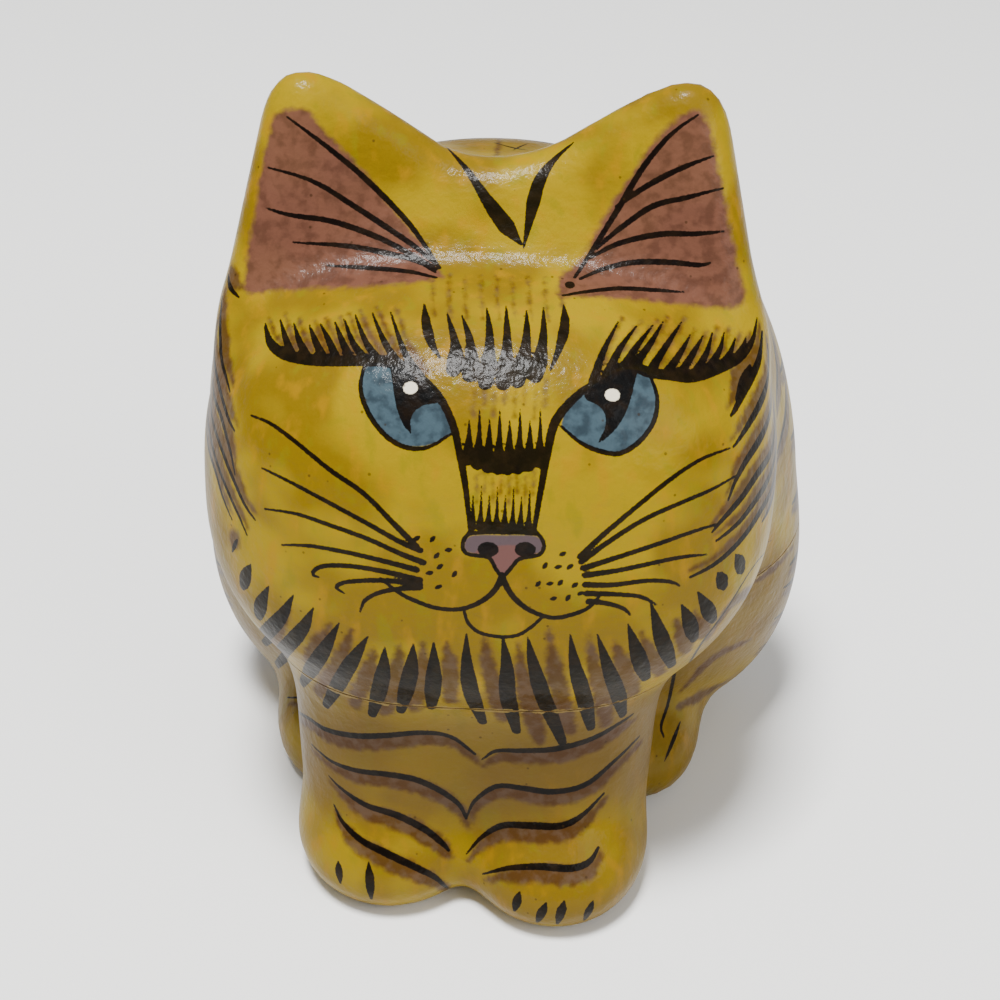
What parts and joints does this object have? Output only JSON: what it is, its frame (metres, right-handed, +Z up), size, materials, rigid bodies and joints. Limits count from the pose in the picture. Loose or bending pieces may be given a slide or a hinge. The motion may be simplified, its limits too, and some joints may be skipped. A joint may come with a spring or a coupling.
{
  "type": "lidded cat box",
  "caption": "Lidded trinket box in the form of a crouching tabby cat, whose head and back lift off a hollow base at a level seam under the chin.",
  "frame": {"origin": "on the floor, under the middle of the cat's outer box", "axes": "+Z up, the cat looks along -Y, its own left side is towards +X"},
  "size_m": [0.1056, 0.0956, 0.1269],
  "materials": {
    "lid_lacquer": "glossy lacquered ochre-yellow paint over papier-mache, with black and brown brush strokes",
    "base_lacquer": "glossy lacquered ochre paint over papier-mache, with dark brown tabby stripes"
  },
  "bodies": {
    "root": {"lid": "lid_lacquer", "base": "base_lacquer"}
  },
  "joints": []
}
